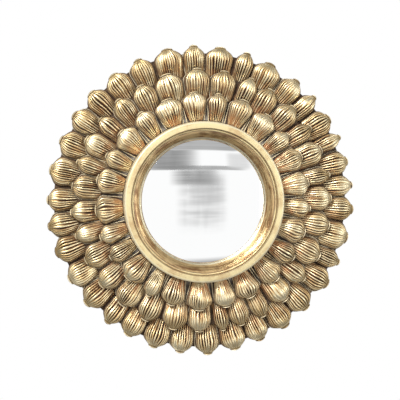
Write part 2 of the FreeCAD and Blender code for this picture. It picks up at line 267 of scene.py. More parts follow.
class Finish(Graph):
    # a material with one Principled shader
    def __init__(self, name, **plain):
        self.material = bpy.data.materials.new(name)
        self.material.use_nodes = True
        super().__init__(self.material.node_tree)
        self.shader = self.tree.nodes["Principled BSDF"]
        for socket, value in plain.items():
            self.shader.inputs[socket.replace("_", " ")].default_value = value

    def set(self, socket, value):
        self.tree.links.new(value.socket, self.shader.inputs[socket])

    def bump(self, height, distance, strength=1.0):
        normal = self.add("ShaderNodeBump", {}, {"Height": height, "Distance": distance,
                                                 "Strength": strength}, "Normal")
        self.set("Normal", normal)

    def surface(self, value):
        # another shader at the output, which may mix the Principled one in
        self.tree.links.new(value.socket, self.tree.nodes["Material Output"].inputs["Surface"])


petalLook = {
    "ridge": (1.0, 0.87, 0.56),
    "face": (0.80, 0.56, 0.25),
    "brown": (0.26, 0.13, 0.052),
    "groove": (0.036, 0.017, 0.010),
    "depths": (0.0, 0.30, 0.50, 0.78),   # how deep each of the four colours above lies
    "cream": (1.0, 0.88, 0.61),          # rubbed smooth patches with a painted highlight on them, and painted highlights on the lips and leaf edges
    "bole": (0.46, 0.20, 0.085),         # red clay where the gold is rubbed through
    "olive": (0.42, 0.30, 0.125),        # darker olive towards the tips, more on the outer rows
    "mauve": (0.090, 0.040, 0.026),      # painted shade on the flanks, at the root and on the outer tips
    "ground": (0.30, 0.28, 0.25),
    "streaks": (17, 1.3),                # how often they change across and along a petal
    "wearSize": 60,
    "fineSize": 900,
    "metal": 0.8,
    "roughness": 0.30,
    "bumpHeight": 0.8 * mm,
}


def petalGilt():
    f = Finish("petal_gilt", Specular_IOR_Level=0.2)
    look = petalLook
    groove, along, across = f.attribute("groove"), f.attribute("along"), f.attribute("across")
    tone, reach, edge = f.attribute("tone"), f.attribute("reach"), f.attribute("edge")
    patch, flank, web = f.attribute("patch"), f.attribute("flank"), f.attribute("web")
    streakAcross, streakAlong = look["streaks"]
    streak = f.noise(1.0, 2, 0.5, at=f.joined(across * streakAcross, along * streakAlong, tone * 40))
    wear = f.noise(look["wearSize"], 5, 0.6)
    fine = f.noise(look["fineSize"], 3, 0.6)
    depth = (groove * 1.25 + (streak - 0.5) * 1.2 + (wear - 0.5) * 0.4 + 0.08 - patch * 0.2).clamp()
    layers = [look[name] for name in ("ridge", "face", "brown", "groove")]
    gold = f.ramp(depth, list(zip(look["depths"], layers)))
    # painted highlight, partly burnished gilt: the smooth patches near the tips, and the inner rows
    # somewhat, lightened to cream
    gold = f.mix((patch * 0.5 + (1 - reach) * 0.25) * (1 - depth), gold, look["cream"])
    rubbed = (1 - along).smooth(0.32, 0.80) * (wear + tone * 0.12 - groove * 0.1).smooth(0.43, 0.61)
    rubbed = rubbed * (0.35 + 0.65 * streak.smooth(0.40, 0.58))
    gold = f.mix(rubbed * 0.8 * (1 - reach * 0.5), gold, look["bole"])
    dull = along.smooth(0.55, 0.95) * (0.15 + 0.45 * reach) * (wear + tone * 0.3).smooth(0.4, 0.8)
    gold = f.mix(dull, gold, look["olive"])
    # painted shade: the flanks, the root and the outer tips darkened to mauve
    gold = f.mix(flank * 0.9, gold, look["mauve"])
    grey = wear.smooth(0.45, 0.6) * (1 - along).smooth(0.80, 0.95)
    gold = f.mix(web, gold, f.mix(grey * 0.3, look["groove"], look["ground"]))
    # painted highlight: the lips and the shown leaf edges in cream
    gold = f.mix(edge, gold, look["cream"])
    f.set("Base Color", gold)
    metal = look["metal"] * (1 - depth).smooth(0.1, 0.6) * (1 - web) * (1 - flank * 0.6)
    f.set("Metallic", metal * (1 - edge * 0.8))
    f.set("Roughness", look["roughness"] + 0.3 * depth + 0.08 * wear + 0.25 * flank)
    f.bump(streak * 0.5 + fine * 0.04 + wear * 0.12, look["bumpHeight"], 0.4)
    return f


ringLook = {
    "pale": (1.0, 0.84, 0.47),
    "worn": (0.60, 0.36, 0.16),
    "cove": (0.84, 0.62, 0.31),
    "coveWorn": (0.34, 0.185, 0.08),
    # the colour of the painted shade in the quirks
    "shadeColour": (0.23, 0.13, 0.055),
    # the colour of the painted highlights on the sight edge and the rim's outer edge
    "edge": (1.0, 0.91, 0.66),
    # radii
    "sight": 99.6 * mm,
    "coveEnd": 112.5 * mm,
    "rimStart": 115.4 * mm,
    "rimEnd": 127.0 * mm,
    # painted highlights on the edges: from where to where, counted from the sight and back from the rim's
    # end
    "slipHighlight": (0.8 * mm, 2.2 * mm),
    "rimHighlight": (3.4 * mm, 2.2 * mm),
    # painted shade in the quirks: how far from the rim's start and the cove's end, and how wide
    "rimLine": (0.5 * mm, 1.9 * mm),
    "beadLine": (-0.3 * mm, 1.0 * mm),
    "streaks": (2.2, 520),               # how often they change round and across the ring
    "cloudSize": 42,
    "fineSize": 520,
    "bumpHeight": 0.4 * mm,
}


def ringGilt():
    f = Finish("ring_gilt", Specular_IOR_Level=0.3)
    look = ringLook
    radius, x, z = f.fromMiddle()
    streakRound, streakAcross = look["streaks"]
    roundRing = f.joined(x / radius * streakRound, radius * streakAcross, z / radius * streakRound)
    streak = f.noise(1.0, 5, 0.62, at=roundRing)
    cloud = f.noise(look["cloudSize"], 5, 0.62)
    fine = f.noise(look["fineSize"], 4, 0.6)
    inCove = 1 - radius.smooth(look["coveEnd"] - 0.8 * mm, look["coveEnd"] + 0.2 * mm)
    blotch = (cloud + streak * 0.5 + fine * 0.2).smooth(0.76, 1.04)
    rim = f.mix(blotch * 0.65, look["pale"], look["worn"])
    cove = f.mix((cloud * 0.7 + streak * 0.9).smooth(0.70, 0.93), look["cove"], look["coveWorn"])
    gold = f.mix(inCove, rim, cove)
    # painted highlights: a pale band at the sight edge and a fainter one near the rim's outer edge
    slipHighlight = 1 - radius.smooth(*(look["sight"] + step for step in look["slipHighlight"]))
    rimHighlight = radius.smooth(*(look["rimEnd"] - step for step in look["rimHighlight"]))
    gold = f.mix(slipHighlight.high(rimHighlight * 0.7), gold, look["edge"])
    rimStep, rimWide = look["rimLine"]
    beadStep, beadWide = look["beadLine"]
    # painted shade along the quirks beside the bead, uneven along its way and broken up by noise
    quirkShade = radius.near(look["rimStart"] + rimStep, rimWide).high(
        radius.near(look["coveEnd"] + beadStep, beadWide) * (0.45 + streak * 0.6))
    gold = f.mix((quirkShade + (cloud - 0.5) * 0.4).smooth(0.15, 0.8) * 0.7, gold, look["shadeColour"])
    f.set("Base Color", gold)
    f.set("Metallic", 0.35 + 0.5 * inCove - 0.3 * quirkShade)
    f.set("Roughness", 0.30 + 0.14 * cloud + 0.10 * streak)
    f.bump(fine * 0.12 + streak * 0.5 + cloud * 0.2, look["bumpHeight"], 0.3)
    return f


glassLook = {
    "clear": (0.985, 0.99, 0.99),
    "hazy": (0.965, 0.97, 0.97),
    "hazeSize": 6,
    "roughness": 0.012,
}


def silvered():
    look = glassLook
    f = Finish("silvered_glass", Metallic=1.0, Roughness=look["roughness"])
    haze = f.noise(look["hazeSize"], 3, 0.5)
    f.set("Base Color", f.mix(haze, look["clear"], look["hazy"]))
    return f


groundLook = {
    "dark": (0.16, 0.13, 0.11),
    "pale": (0.36, 0.34, 0.31),
    # the colour of the painted shade
    "shadeColour": (0.035, 0.026, 0.020),
    "rimCornerShade": (0.4 * mm, 1.8 * mm),   # past the rim: where the painted shade in the corner ends
    "petalCornerShade": (2 * mm, 11 * mm),   # and where painted shade begins again between the petals
    "cloudSize": 70,
    "fineSize": 420,
}


def groundPaint():
    f = Finish("ground_paint", Roughness=0.75, Specular_IOR_Level=0.2)
    look = groundLook
    cloud = f.noise(look["cloudSize"], 5, 0.65)
    fine = f.noise(look["fineSize"], 4, 0.6)
    radius, _, _ = f.fromMiddle()
    shade = (cloud * 0.7 + fine * 0.4).smooth(0.38, 0.68)
    grey = f.mix(shade, look["dark"], look["pale"])
    # painted shade: a dark line in the corner at the rim, and darker ground further out between the
    # petals
    rimCornerShade = 1 - radius.smooth(*(ringLook["rimEnd"] + step for step in look["rimCornerShade"]))
    paintedShade = radius.smooth(*(ringLook["rimEnd"] + step for step in look["petalCornerShade"])).high(rimCornerShade)
    f.set("Base Color", f.mix(paintedShade * 0.9, grey, look["shadeColour"]))
    f.bump(fine * 0.5 + cloud * 0.5, 0.5 * mm, 0.6)
    return f


boardLook = {
    "dark": (0.060, 0.036, 0.020),
    "pale": (0.15, 0.098, 0.058),
    "grain": (26, (1, 1, 12)),           # size and stretch: both lie level
    "pores": (420, (0.06, 1, 1)),
}


def stainedBoard():
    f = Finish("stained_board", Roughness=0.6, Specular_IOR_Level=0.3)
    look = boardLook
    grainSize, grainStretch = look["grain"]
    poreSize, poreStretch = look["pores"]
    grain = f.noise(grainSize, 6, 0.62, grainStretch)
    pores = f.noise(poreSize, 4, 0.6, poreStretch)
    shade = (grain * 0.75 + pores * 0.3).smooth(0.36, 0.66)
    f.set("Base Color", f.mix(shade, look["dark"], look["pale"]))
    f.bump(pores * 0.7 + grain * 0.3, 0.4 * mm, 0.5)
    return f


hardboardLook = {
    "dark": (0.17, 0.092, 0.045),
    "pale": (0.36, 0.215, 0.115),
    "fibreSize": 420,
    "netSize": 520,
    "cloudSize": 14,
}


def hardboard():
    f = Finish("hardboard", Roughness=0.72)
    look = hardboardLook
    fibre = f.noise(look["fibreSize"], 6, 0.7)
    cloud = f.noise(look["cloudSize"], 4, 0.55)
    net = f.cells(look["netSize"])
    shade = (fibre * 0.55 + cloud * 0.5).smooth(0.36, 0.68)
    f.set("Base Color", f.mix(shade, look["dark"], look["pale"]))
    f.bump(net * 0.6 + fibre * 0.5, 0.4 * mm, 0.5)
    return f


foamLook = {
    "dark": (0.035, 0.035, 0.038),
    "pale": (0.11, 0.11, 0.115),
    "cellSize": 900,
    "cloudSize": 60,
}


def softFoam():
    f = Finish("grey_foam", Roughness=0.9)
    look = foamLook
    cells = f.cells(look["cellSize"])
    cloud = f.noise(look["cloudSize"], 3, 0.5)
    shade = (cells + cloud * 0.4).smooth(0.2, 0.9)
    f.set("Base Color", f.mix(shade, look["dark"], look["pale"]))
    f.bump(cells, 0.6 * mm, 0.9)
    return f


zincLook = {
    "dark": (0.50, 0.50, 0.48),
    "pale": (0.72, 0.72, 0.70),
    "cloudSize": 180,
    "scratches": (90, (9, 1, 0.7)),      # size and stretch
    "roughness": 0.22,
}


def zincPlate():
    f = Finish("zinc_plate", Metallic=1.0)
    look = zincLook
    scratchSize, scratchStretch = look["scratches"]
    cloud = f.noise(look["cloudSize"], 4, 0.6)
    scratch = f.noise(scratchSize, 4, 0.6, scratchStretch)
    f.set("Base Color", f.mix(cloud, look["dark"], look["pale"]))
    f.set("Roughness", look["roughness"] + 0.2 * cloud + 0.15 * scratch)
    f.bump(scratch * 0.4 + cloud * 0.3, 0.1 * mm, 0.5)
    return f


rubberLook = {
    "clean": (0.018, 0.018, 0.018),
    "dusty": (0.065, 0.063, 0.06),
    "grainSize": 700,
    "dustSize": 110,
}


def rubber():
    f = Finish("black_rubber", Roughness=0.62)
    look = rubberLook
    grain = f.noise(look["grainSize"], 3, 0.5)
    dust = f.noise(look["dustSize"], 4, 0.6)
    shade = (dust * 0.8 + grain * 0.3).smooth(0.45, 0.75)
    f.set("Base Color", f.mix(shade, look["clean"], look["dusty"]))
    f.bump(grain, 0.2 * mm, 0.4)
    return f


# by the frame's own material slots
finishes = {
    "gilt_petals": petalGilt(),
    "gilt_rings": ringGilt(),
    "front_ground": groundPaint(),
    "board": stainedBoard(),
    "mirror_glass": silvered(),
    "foam": softFoam(),
    "hardboard": hardboard(),
    "zinc_steel": zincPlate(),
    "rubber": rubber(),
}


def coat(piece, slot):
    piece.data.materials.clear()
    piece.data.materials.append(finishes[slot].material)


def standFor(piece, slot, node):
    # the piece is seen in place of a node of the frame
    coat(piece, slot)
    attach(piece, "frame")
    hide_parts(node)


for entry in frame["record"]["subparts"]:
    coat(frame["nodes"][entry["node"]], entry["material_slot"])
print("finishes made:", len(finishes))


# The widths are read round the frame, in degrees, clockwise, as the solids have them.
petalRows = {
    "inner": {
        "widths": [15, 12, 15, 16, 12, 15, 15, 12, 16, 14, 15, 16, 14,
                   16, 15, 11, 17, 12, 12, 17, 15, 12, 16, 13, 17],
        "start": 347.7, "root": 127.3 * mm, "tips": 174.5 * mm, "board": "front_board",
        "swellAt": 0.64, "rootShare": 0.46, "leafShare": (0.62, 0.80), "reach": 0.0,
    },
    "middle": {
        "widths": [13, 13, 10, 12, 12, 10, 13, 9, 13, 13, 14, 11, 13, 10, 11, 8,
                   12, 13, 12, 13, 12, 13, 10, 11, 12, 9, 12, 10, 11, 12, 14],
        "start": 350.8, "root": 160.8 * mm, "tips": 211.5 * mm, "board": "middle_board",
        "swellAt": 0.57, "rootShare": 0.74, "leafShare": (0.82, 0.84), "reach": 0.5,
    },
    "outer": {
        "widths": [9, 12, 8, 12, 10, 8, 11, 7, 10, 9, 10, 12, 8, 11, 11, 11, 10, 11,
                   10, 10, 11, 10, 9, 11, 11, 11, 10, 10, 12, 11, 10, 10, 11, 10, 12],
        "start": 352.4, "root": 197.8 * mm, "tips": 248.0 * mm, "board": "back_board",
        "swellAt": 0.57, "rootShare": 0.74, "leafShare": (0.84, 0.86), "reach": 1.0,
    },
}

petalForm = {
    "sides": 240,               # round a whole cylinder, of which the upper half stays
    "rings": 32,
    "crowding": 1.7,            # the rings lie closer towards the tip
    "endSteps": 2,              # the blank's rounded end: its insets, and how far each stands out
    "endInset": 0.25,
    "endRise": 0.004,
    "height": 15.0 * mm,
    "gap": 0.9 * mm,            # between neighbours at their widest
    "tipScatter": 2.4 * mm,
    "undercut": 4.0 * mm,       # the underside rises by this much at the tip
    "seat": 0.72,               # where it starts to rise, as a share of the length
    "neck": 0.945,              # the hollow behind the lip
    "neckWide": 0.018,
    "lip": 0.974,
    "lipWide": 0.014,
    # (share of the length, share of the height)
    "crest": [(0.0, 0.42), (0.2, 0.58), (0.35, 0.80), (0.5, 0.97), (0.62, 1.0), (0.75, 0.92),
              (0.86, 0.76), (0.93, 0.59), (0.95, 0.56), (0.972, 0.63), (0.985, 0.60), (1.0, 0.44)],
    # broad petals have longer shoulders than slim ones
    "broad": {"tipShare": 0.42, "shoulder": 2.2},
    "slim": {"tipShare": 0.39, "shoulder": 2.0},
    "broadFrom": 18.5 * mm,     # half width
    "fullness": 0.3,            # how far the sides swell between the root and the widest place
    "nose": 0.14,               # how much narrower the very end is than the lip
    # across the section, from the edge (0) to the crest (1)
    "edgeEnd": 0.06,            # the thin leaf edge round the petal's foot
    "webEnd": 0.13,             # the hollow between it and the petal
    "edgeWide": 1.6 * mm,
    "edgeHigh": 1.5 * mm,
    "edgeFull": 0.8,            # 1 is a sine's arch, less is fuller
    "webHigh": 0.4 * mm,
    "edgeOut": (0.3 * mm, 1.4 * mm),   # how far the edge stands out, on plain and marked sides
    "edgeSlack": (0.95, 0.75),  # from the first back to the second it gains its full reach
    "leastOut": 0.1,            # what is left of that reach at the tip
    "lean": 2.5,                # degrees
    "roundFrom": 0.72,          # from here on the petal's end curves back at its sides
    "roundRate": 1.5,           # more than 1 curves it later
    "tipRound": 2.2 * mm,
    "pointed": (-0.03, 0.22),   # how much narrower than its cage a petal's end is
    "marked": 0.3,              # the share of sides whose leaf edge stands out and shows pale, as a painted highlight
    "sharp": 62,                # degrees, past which an edge isn't smooth
    "seed": 17,
}

# Where sines are added up, the numbers are how far they reach, how many they are, and their
# highest rates across and along the petal, in radians.
ribForm = {
    "pitch": (4.1 * mm, 5.3 * mm),     # on the crest at the widest place
    "fewest": 8,
    "spare": 3,                 # grooves past each side, which the bends may bring in
    "depth": 0.14,              # as a share of the half width
    "bends": [(0.16, 4, 22, 1.5), (0.10, 3, 10, 9)],   # sines, in ribs
    "width": (0.46, 0.80),      # as a share of the pitch
    "steep": 0.8,               # less than 1 makes a groove's sides steeper
    "deep": (0.7, 1.3),         # each groove's own share of the depth
    "mean": 0.95,               # and how it changes on its way: its mean and its sines
    "uneven": (0.4, 3, 6, 8),
    "unevenLimits": (0.3, 1.25),
    "deepest": 1.1,
    "until": (0.56, 1.1),       # where a petal's grooves fade out, as a share of its length
    "untilScatter": 0.14,
    "fadeOver": 0.22,
    "faint": 0.5,               # what is left of them past that
    "rootGain": 1.1,            # how deep they are at the root, and what they lose to the tip
    "tipLoss": 0.25,
    "patchOver": 0.10,          # a smooth patch grows from so much before their end to so much past it
    "patchEnd": (0.95, 0.90),
    "swell": (0.02, 3, 4, 5),   # sines, which make the whole petal a little uneven
}

# From where to where a mark grows, across the section (0 at the edge, 1 on the crest) or
# along the petal.
petalMarks = {
    "patchAcross": (0.30, 0.60),
    # the dark side, tip and root marks are painted shade
    "darkSideAcross": (0.47, 0.27),
    "darkSideAlong": (0.12, 0.32),
    "darkTip": (0.955, 0.985),
    "darkRoot": (0.05, 0.01),
    "rootShade": 0.8,
    "neckShade": 0.95,
    "lipAcross": (0.15, 0.35),
    "edgeUntil": 0.93,
    "edgeShown": 0.9,           # on marked sides, past the inner row
}

ringShares = [1 - (1 - step / petalForm["rings"]) ** petalForm["crowding"]
              for step in range(petalForm["rings"] + 1)]
ringHeights = curve(petalForm["crest"], np.array(ringShares))


def petalWidth(along, row, kind):
    # as a share of the half width
    form = petalForm
    t = min(along / row["swellAt"], 1)
    rise = row["rootShare"] + (1 - row["rootShare"]) * (t + form["fullness"] * t * (1 - t))
    past = min(max(0.0, (along - row["swellAt"]) / (form["neck"] - row["swellAt"])), 1)
    fall = 1 - (1 - kind["tipShare"]) * past ** kind["shoulder"]
    nose = 1 - form["nose"] * max(0.0, (along - form["lip"]) / (1 - form["lip"])) ** 2
    return min(rise, fall) * nose


def petalBlank():
    # half a cylinder along +Y from 0 to 1, with a rounded end, cut into rings
    form = petalForm
    deselectAll()
    bpy.ops.mesh.primitive_cylinder_add(vertices=form["sides"], radius=1, depth=1,
                                        end_fill_type="NGON", location=(0, 0.5, 0),
                                        rotation=(math.radians(-90), 0, 0))
    blank = added("petal_blank")

    def shape():
        bpy.ops.mesh.select_all(action="SELECT")
        bpy.ops.mesh.bisect(plane_co=(0, 0, 0), plane_no=(0, 0, 1), clear_inner=True, use_fill=True)
        pick(blank, lambda place: place.y > 1 - hair)
        for step in range(form["endSteps"]):
            bpy.ops.mesh.inset(thickness=form["endInset"])
            bpy.ops.transform.translate(value=(0, form["endRise"], 0))
        for ringShare in ringShares[1:-1]:
            bpy.ops.mesh.select_all(action="SELECT")
            bpy.ops.mesh.bisect(plane_co=(0, ringShare, 0), plane_no=(0, 1, 0))

    inEditMode(blank, shape)
    return blank


def petalCage(blank, name, row, kind):
    cage = copyOf(blank, name)

    def shape():
        for ringShare, height in zip(ringShares, ringHeights):
            width = petalWidth(ringShare, row, kind)
            if ringShare == 1:
                pick(cage, lambda place: place.y > 1 - hair)
            else:
                pick(cage, lambda place: abs(place.y - ringShare) < hair)
            bpy.ops.transform.resize(value=(width, 1, height), center_override=(0, ringShare, 0))

    inEditMode(cage, shape)
    return cage


def waves(across, along, draw, count, mostAcross, mostAlong):
    # a smooth uneven field made of a few sines
    total = np.zeros(len(across))
    for number in range(count):
        a = draw.uniform(-mostAcross, mostAcross)
        b = draw.uniform(-mostAlong, mostAlong)
        total += np.sin(a * across + b * along + draw.uniform(0, tau))
    return total / math.sqrt(count)


def grooves(across, along, ribs, draw):
    # how deep each place lies between the ribs, from 0 to about 1, and where it is rubbed smooth
    form = ribForm
    phase = across * ribs
    for far, *sines in form["bends"]:
        phase = phase + far * waves(across, along, draw, *sines)
    count = ribs + 2 * form["spare"] + 1
    nearest = np.clip(np.round(phase).astype(int) + form["spare"], 0, count - 1)
    width = draw.uniform(*form["width"], count)[nearest]
    deep = draw.uniform(*form["deep"], count)[nearest]
    scatter = form["untilScatter"]
    until = (draw.uniform(*form["until"]) + draw.uniform(-scatter, scatter, count))[nearest]
    dip = np.clip(1 - 2 * np.abs(phase - np.round(phase)) / width, 0, 1) ** form["steep"]
    # a groove is cut deep at the root, and fades out towards the tip
    fade = share(along, until, until - form["fadeOver"])
    fade = np.maximum(fade, form["faint"] * (along < petalForm["neck"]))
    fade = fade * (form["rootGain"] - form["tipLoss"] * along)
    far, *sines = form["uneven"]
    uneven = np.clip(form["mean"] + far * waves(across, along, draw, *sines), *form["unevenLimits"])
    smoothTip = share(along, until - form["patchOver"], until + form["patchOver"])
    smoothTip = smoothTip * share(along, *form["patchEnd"])
    return np.clip(dip * deep * uneven, 0, form["deepest"]) * fade, smoothTip


def carvePetal(petal, row, halfWidth, length, draw):
    # gives the cage its ribs, its foot with the leaf edge, and its real size
    form = petalForm
    points = coords(petal)
    x, along, z = points.T
    along = along / along.max()
    wide = np.interp(along, ringShares, petal.data["widths"].to_list())
    high = np.interp(along, ringShares, ringHeights)
    arch = np.arctan2(z / high, x / wide) / math.pi
    inner = np.clip(np.hypot(x / wide, z / high), 0, 1)     # less than 1 on the end faces only
    side = 1 - np.abs(arch * 2 - 1)                         # 0 at the edge, 1 on the crest
    left = x < 0
    climb = share(side, form["webEnd"], 1)
    across = np.where(left, 1 - climb / 2, climb / 2)       # from one foot over the crest
    ribs = max(ribForm["fewest"], round(math.pi * halfWidth / draw.uniform(*ribForm["pitch"])))
    groove, smoothTip = grooves(across, along, ribs, draw)
    far, *sines = ribForm["swell"]
    cut = 1 - ribForm["depth"] * groove + far * waves(across, along, draw, *sines)

    base = form["undercut"] * share(along, form["seat"], 1)
    foot = wide * halfWidth
    crest = high * form["height"]
    marks = [int(draw.random() < form["marked"]) for _ in range(2)]
    outs = [form["edgeOut"][mark] for mark in marks]
    leafShares = [draw.uniform(*row["leafShare"]) for _ in range(2)]
    out = np.where(left, *outs) * np.maximum(share(along, *form["edgeSlack"]), form["leastOut"])
    rootLine = np.where(left, *leafShares)
    rootLine = halfWidth * (rootLine + (1 - rootLine) * along / row["swellAt"]) * (along < row["swellAt"])
    leaf = np.maximum(foot + out, rootLine)
    onEdge = side < form["edgeEnd"]
    onWeb = ~onEdge & (side < form["webEnd"])
    q = share(side, 0, form["edgeEnd"])
    w = share(side, form["edgeEnd"], form["webEnd"])
    inside = leaf - form["edgeWide"]
    sideways = np.where(onEdge, leaf - form["edgeWide"] * q, inside + (foot - inside) * w)
    sideways = np.where(onEdge | onWeb, sideways, foot * np.cos(climb * math.pi / 2) * cut)
    edgeRise = form["edgeHigh"] * np.sin(math.pi * q) ** form["edgeFull"] + form["webHigh"] * q
    archRise = form["webHigh"] + (crest - base - form["webHigh"]) * np.sin(climb * math.pi / 2) * cut
    rise = np.where(onEdge, edgeRise, np.where(onWeb, form["webHigh"], archRise))
    underside = side < hair
    rise = np.where(underside, 0, rise)
    nearTip = share(along, form["roundFrom"], 1) ** form["roundRate"]
    sideways = sideways * (1 - nearTip * draw.uniform(*form["pointed"]))
    curvedBack = form["tipRound"] * nearTip * np.clip(sideways * inner / foot, 0, 1) ** 2
    points[:, 0] = np.where(left, -1, 1) * sideways * inner
    points[:, 1] = along * length - curvedBack
    points[:, 2] = base + rise * inner
    setCoords(petal, points)

    floatAttribute(petal, "along", along)
    floatAttribute(petal, "across", across)
    floatAttribute(petal, "web", onWeb * 1.0)
    shown = np.where(left, *marks) * petalMarks["edgeShown"] if row["reach"] else 1.0
    markPetal(petal, row, along, side, groove, smoothTip, onEdge * ~underside * shown, draw)


def markPetal(petal, row, along, side, groove, smoothTip, edge, draw):
    # the attributes that the petals' gilding reads
    form = petalForm
    marks = petalMarks
    neck = hump(along, form["neck"], form["neckWide"]) * marks["neckShade"]
    floatAttribute(petal, "groove", np.clip(np.maximum(groove, neck), 0, 1))
    floatAttribute(petal, "patch", smoothTip * share(side, *marks["patchAcross"]))
    dull = row["reach"] * draw.uniform(0.0, 1.0) ** 2
    # painted shade: dark flanks, dark ends on outer tips, and a dark root where the petal meets the rim
    darkSide = share(side, *marks["darkSideAcross"]) * share(along, *marks["darkSideAlong"])
    darkTip = dull * share(along, *marks["darkTip"])
    darkRoot = share(along, *marks["darkRoot"]) * marks["rootShade"]
    floatAttribute(petal, "flank", np.maximum(np.maximum(darkSide, darkTip), darkRoot))
    # painted highlights: a pale line along each lip, and on the leaf edges that show
    lipHighlight = hump(along, form["lip"], form["lipWide"]) * share(side, *marks["lipAcross"]) * (1 - dull)
    leafEdgeHighlight = edge * (along < marks["edgeUntil"])
    floatAttribute(petal, "edge", np.clip(np.maximum(lipHighlight, leafEdgeHighlight), 0, 1))
    floatAttribute(petal, "tone", np.full(len(along), draw.random()))
    floatAttribute(petal, "reach", np.full(len(along), row["reach"]))


def layPetal(petal, row, middle, draw):
    # on its board at twelve o'clock, crest to the front, then turned clockwise
    boardFront = -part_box(row["board"])[0].y
    lean = Matrix.Rotation(math.radians(draw.uniform(-1, 1) * petalForm["lean"]), 4, "Z")
    lay = Matrix(((1, 0, 0, 0), (0, 0, -1, -boardFront), (0, 1, 0, row["root"]), (0, 0, 0, 1)))
    turn = Matrix.Rotation(math.radians(middle), 4, "Y")
    petal.data.transform(turn @ lay @ lean)


def makePetals():
    form = petalForm
    blank = petalBlank()
    cages = {}
    for rowName, row in petalRows.items():
        for kindName in ("broad", "slim"):
            cage = petalCage(blank, f"{rowName}_{kindName}_cage", row, form[kindName])
            cage.data["widths"] = [petalWidth(ringShare, row, form[kindName]) for ringShare in ringShares]
            cages[rowName, kindName] = cage
    print("petal cages:", len(cages), "of", len(blank.data.polygons), "faces")
    draw = np.random.default_rng(form["seed"])
    nodePetals = {}
    for rowName, row in petalRows.items():
        scale = 360 / sum(row["widths"])
        angle = row["start"]
        for number, width in enumerate(row["widths"]):
            middle = (angle + width * scale / 2) % 360
            angle += width * scale
            scatter = (number * (math.sqrt(5) - 1) / 2) % 1
            length = row["tips"] - row["root"] - form["tipScatter"] * scatter
            swellRadius = row["root"] + row["swellAt"] * length
            halfWidth = swellRadius * math.tan(math.radians(width * scale / 2)) - form["gap"] / 2
            kindName = "broad" if halfWidth > form["broadFrom"] else "slim"
            node = f"{rowName}_petals_{int(middle // 30) + 1:02d}"
            petal = copyOf(cages[rowName, kindName], f"{node}_part")
            carvePetal(petal, row, halfWidth, length, draw)
            layPetal(petal, row, middle, draw)
            nodePetals.setdefault(node, []).append(petal)
    for piece in [blank, *cages.values()]:
        bpy.data.objects.remove(piece)
    for node, petals in nodePetals.items():
        onlySelect(petals[0])
        for petal in petals[1:]:
            petal.select_set(True)
        if len(petals) > 1:
            bpy.ops.object.join()
        joined = petals[0]
        joined.name = joined.data.name = f"{node}_carved"
        smoothSharp(joined, form["sharp"])
        standFor(joined, "gilt_petals", node)
    print("petals laid:", sum(len(petals) for petals in nodePetals.values()))


makePetals()


glassForm = {
    "sides": 160,
    "frontSphere": 450.0 * mm,
    "thickness": 3.0 * mm,
    "bevelWide": 2.4 * mm,      # what shows of the bevel inside the slip
    "bevelTilt": 8.0,           # degrees, more than the dome there
    "bevelStep": 0.15 * mm,     # the narrow ring that keeps the bevel's inner edge crisp
    "ringWidth": 4.5 * mm,
    "sharp": 5,                 # degrees
}


def makeGlass():
    low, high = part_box("mirror_glass")
    radius = (high.x - low.x) / 2
    form = glassForm
    deselectAll()
    bpy.ops.mesh.primitive_circle_add(vertices=form["sides"], radius=radius, fill_type="NGON",
                                      location=(0, 0, 0), rotation=(math.radians(90), 0, 0))
    glass = added("domed_glass")
    bevelStart = ringLook["sight"] - form["bevelWide"]

    def shape():
        bpy.ops.mesh.select_all(action="SELECT")
        bpy.ops.mesh.inset(thickness=radius - bevelStart)
        bpy.ops.mesh.inset(thickness=form["bevelStep"])
        left = bevelStart - form["bevelStep"]
        while left > 2 * form["ringWidth"]:
            bpy.ops.mesh.inset(thickness=form["ringWidth"])
            left -= form["ringWidth"]
        bpy.ops.mesh.poke()

    inEditMode(glass, shape)
    points = coords(glass)
    away = np.hypot(points[:, 0], points[:, 2])
    fall = form["frontSphere"] - np.sqrt(form["frontSphere"] ** 2 - away ** 2)
    fall += np.clip(away - bevelStart, 0, None) * math.tan(math.radians(form["bevelTilt"]))
    points[:, 1] = low.y + fall
    setCoords(glass, points)
    onlySelect(glass)
    wall = glass.modifiers.new("wall", "SOLIDIFY")
    wall.thickness = min(form["thickness"], high.y - points[:, 1].max())
    wall.offset = -1
    bpy.ops.object.modifier_apply(modifier=wall.name)
    smoothSharp(glass, form["sharp"])
    standFor(glass, "mirror_glass", "mirror_glass")


makeGlass()


foamForm = {
    "turns": 120,
    "sides": 24,
    "width": 9.0 * mm,
    "square": 0.45,             # 1 is a round section, less is squarer
    "dimple": 0.5 * mm,         # the cut foam's unevenness
    "dimples": (7, 17),         # how many there are round the ring, in two overlaid sets
    "fill": 0.9,
    "sharp": 60,                # degrees
}


def makeFoam():
    # a soft strip behind the glass, with a crowned section
    form = foamForm
    low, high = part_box("packing_ring")
    outer = (high.x - low.x) / 2
    depth = high.y - low.y
    half = form["width"] / 2
    deselectAll()
    bpy.ops.mesh.primitive_torus_add(major_segments=form["turns"], minor_segments=form["sides"],
                                     major_radius=outer - half, minor_radius=half,
                                     rotation=(math.radians(90), 0, 0))
    foam = added("foam_ring")
    points = coords(foam)
    x, y, z = points.T
    away = np.hypot(x, z)
    across = (away - outer + half) / half
    deep = y / half
    # the round section becomes a crowned square one, and fills the node's box
    across = np.sign(across) * np.abs(across) ** form["square"]
    deep = np.sign(deep) * np.abs(deep) ** form["square"]
    turn = np.arctan2(x, z)
    few, many = form["dimples"]
    sag = form["dimple"] * (0.5 + 0.25 * np.sin(few * turn) + 0.25 * np.sin(many * turn + 1))
    newAway = outer - half + across * (half - sag)
    points[:, 0] = x / away * newAway
    points[:, 1] = (low.y + high.y) / 2 + deep * (depth / 2 - sag / 2)
    points[:, 2] = z / away * newAway
    setCoords(foam, points)
    smoothSharp(foam, form["sharp"])
    standFor(foam, "foam", "packing_ring")


makeFoam()
print("glass and foam made")


